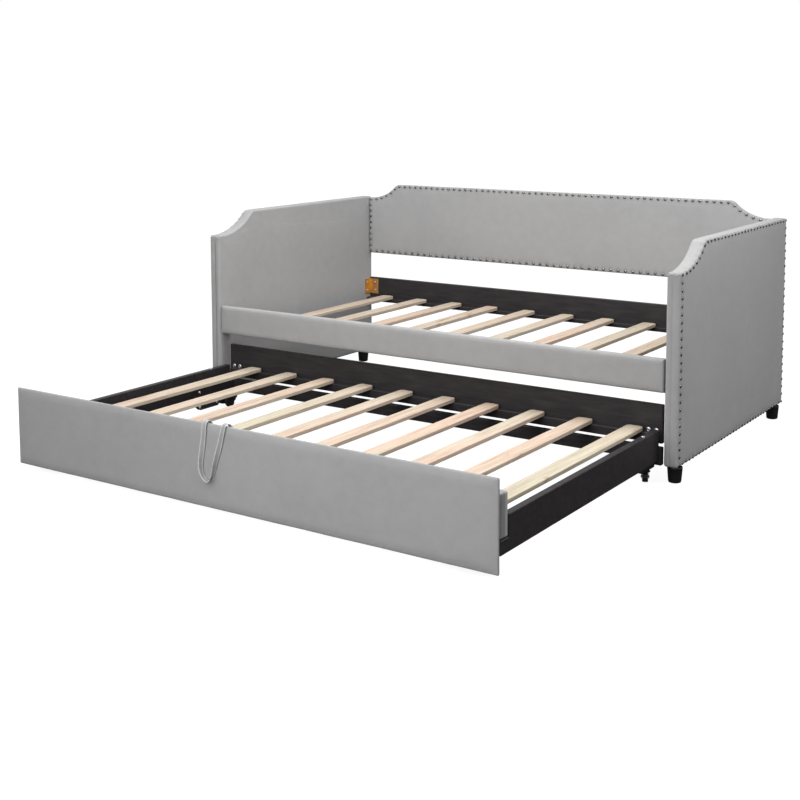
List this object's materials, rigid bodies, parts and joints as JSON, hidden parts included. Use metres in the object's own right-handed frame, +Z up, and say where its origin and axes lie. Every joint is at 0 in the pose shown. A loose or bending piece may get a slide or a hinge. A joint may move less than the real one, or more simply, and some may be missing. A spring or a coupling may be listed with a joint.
{
  "type": "trundle bed",
  "caption": "Twin upholstered daybed frame with scalloped arms and back, slatted deck, and a low slatted trundle that rolls out from under it on swivel casters.",
  "frame": {"origin": "on the floor, under the middle of the footprint with the trundle rolled out, as in the rest pose", "axes": "+X along the bed, +Y from the trundle's fascia to the back panel, +Z up"},
  "size_m": [2.04, 2.1635, 0.855],
  "materials": {
    "upholstery": "light grey plain woven upholstery fabric",
    "black_wood": "satin black painted board",
    "pine": "raw planed pine",
    "black_plastic": "moulded black plastic",
    "wheel_nylon": "black nylon",
    "yellow_zinc": "yellow zinc plated steel",
    "black_steel": "black plated pressed steel",
    "strap": "folded strap of the grey upholstery fabric"
  },
  "bodies": {
    "daybed": {"arm_left": "upholstery", "arm_right": "upholstery", "back_panel": "upholstery", "front_rail": "upholstery", "back_rail": "black_wood", "front_ledge": "black_wood", "back_ledge": "black_wood", "deck_slat_01": "pine", "deck_slat_02": "pine", "deck_slat_03": "pine", "deck_slat_04": "pine", "deck_slat_05": "pine", "deck_slat_06": "pine", "deck_slat_07": "pine", "deck_slat_08": "pine", "deck_slat_09": "pine", "deck_slat_10": "pine", "foot_front_left": "black_plastic", "foot_front_right": "black_plastic", "foot_rear_left": "black_plastic", "foot_rear_right": "black_plastic", "corner_bracket_front_left": "yellow_zinc", "corner_bracket_front_right": "yellow_zinc", "corner_bracket_rear_left": "yellow_zinc", "corner_bracket_rear_right": "yellow_zinc"},
    "trundle": {"fascia": "upholstery", "trundle_front_rail": "upholstery", "trundle_side_rail_left": "black_wood", "trundle_side_rail_right": "black_wood", "trundle_back_rail": "black_wood", "trundle_front_ledge": "black_wood", "trundle_back_ledge": "black_wood", "trundle_stretcher": "black_wood", "trundle_slat_01": "pine", "trundle_slat_02": "pine", "trundle_slat_03": "pine", "trundle_slat_04": "pine", "trundle_slat_05": "pine", "trundle_slat_06": "pine", "trundle_slat_07": "pine", "trundle_slat_08": "pine", "trundle_slat_09": "pine", "trundle_slat_10": "pine", "caster_block_front_left": "black_wood", "caster_block_front_right": "black_wood", "caster_block_rear_left": "black_wood", "caster_block_rear_right": "black_wood", "pull_strap": "strap"},
    "caster_front_left": {"caster_fork_front_left": "black_steel"},
    "wheel_front_left": {"caster_wheel_front_left": "wheel_nylon"},
    "caster_front_right": {"caster_fork_front_right": "black_steel"},
    "wheel_front_right": {"caster_wheel_front_right": "wheel_nylon"},
    "caster_rear_left": {"caster_fork_rear_left": "black_steel"},
    "wheel_rear_left": {"caster_wheel_rear_left": "wheel_nylon"},
    "caster_rear_right": {"caster_fork_rear_right": "black_steel"},
    "wheel_rear_right": {"caster_wheel_rear_right": "wheel_nylon"}
  },
  "joints": [
    {"name": "trundle_slide", "type": "slide", "parent": "daybed", "child": "trundle", "axis": [0, 1, 0], "range_m": [-0.1, 1.03]},
    {"name": "swivel_front_left", "type": "hinge", "parent": "trundle", "child": "caster_front_left", "pos_m": [-0.8677, -1.00415, 0.019], "axis": [0, 0, 1], "continuous": true},
    {"name": "roll_front_left", "type": "hinge", "parent": "caster_front_left", "child": "wheel_front_left", "pos_m": [-0.87362, -0.99146, 0.019], "axis": [0.9063, 0.4226, 0], "continuous": true},
    {"name": "swivel_front_right", "type": "hinge", "parent": "trundle", "child": "caster_front_right", "pos_m": [0.8677, -1.00415, 0.019], "axis": [0, 0, 1], "continuous": true},
    {"name": "roll_front_right", "type": "hinge", "parent": "caster_front_right", "child": "wheel_front_right", "pos_m": [0.87249, -0.99099, 0.019], "axis": [0.9397, -0.342, 0], "continuous": true},
    {"name": "swivel_rear_left", "type": "hinge", "parent": "trundle", "child": "caster_rear_left", "pos_m": [-0.9157, 0.00175, 0.019], "axis": [0, 0, 1], "continuous": true},
    {"name": "roll_rear_left", "type": "hinge", "parent": "caster_rear_left", "child": "wheel_rear_left", "pos_m": [-0.92627, -0.00743, 0.019], "axis": [-0.6561, 0.7547, 0], "continuous": true},
    {"name": "swivel_rear_right", "type": "hinge", "parent": "trundle", "child": "caster_rear_right", "pos_m": [0.9157, -0.03625, 0.019], "axis": [0, 0, 1], "continuous": true},
    {"name": "roll_rear_right", "type": "hinge", "parent": "caster_rear_right", "child": "wheel_rear_right", "pos_m": [0.91023, -0.02336, 0.019], "axis": [0.9205, 0.3907, 0], "continuous": true}
  ]
}
